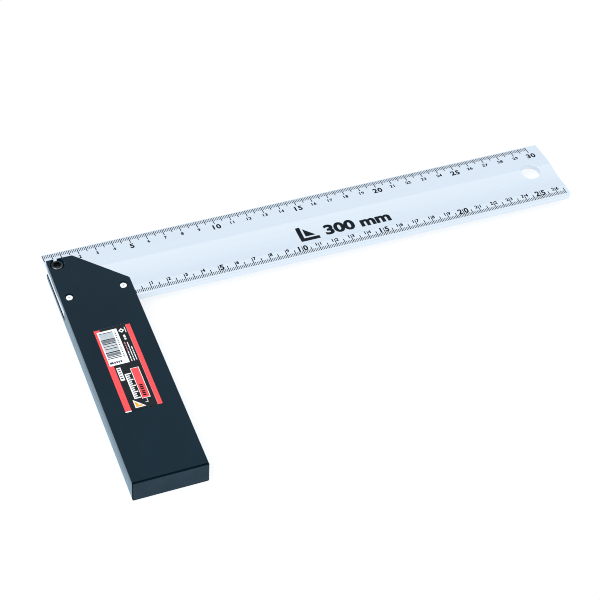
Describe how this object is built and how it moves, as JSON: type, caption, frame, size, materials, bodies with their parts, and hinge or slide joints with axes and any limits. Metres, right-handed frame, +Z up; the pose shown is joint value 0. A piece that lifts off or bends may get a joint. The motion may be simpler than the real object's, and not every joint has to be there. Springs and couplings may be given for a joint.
{
  "type": "carpenter's try square",
  "caption": "Fixed carpenter's try square: graduated aluminium blade riveted across the mitred end of a black stock.",
  "frame": {"origin": "bottom centre of the tool's bounding box, on the surface that the stock lies on", "axes": "+X along the blade from the stock to the tip, +Y from the stock's free end to the blade, +Z up through the thickness"},
  "size_m": [0.3082, 0.1732, 0.014],
  "materials": {
    "black_coat": "satin black coating on extruded aluminium",
    "black_plastic": "moulded, fine matt texture",
    "anodised_aluminium": "clear anodised, fine lengthwise extrusion lines, dark graduations",
    "rivet_aluminium": "bright, pressed",
    "black_steel": "black oxide",
    "brass": "turned",
    "label_film": null
  },
  "bodies": {
    "root": {"stock": "black_coat", "end_cap": "black_plastic", "blade": "anodised_aluminium", "blade_packer": "black_plastic", "outer_rivet": "rivet_aluminium", "inner_rivet": "rivet_aluminium", "corner_screw": "black_steel", "threaded_insert": "brass", "label": "label_film"}
  },
  "joints": []
}
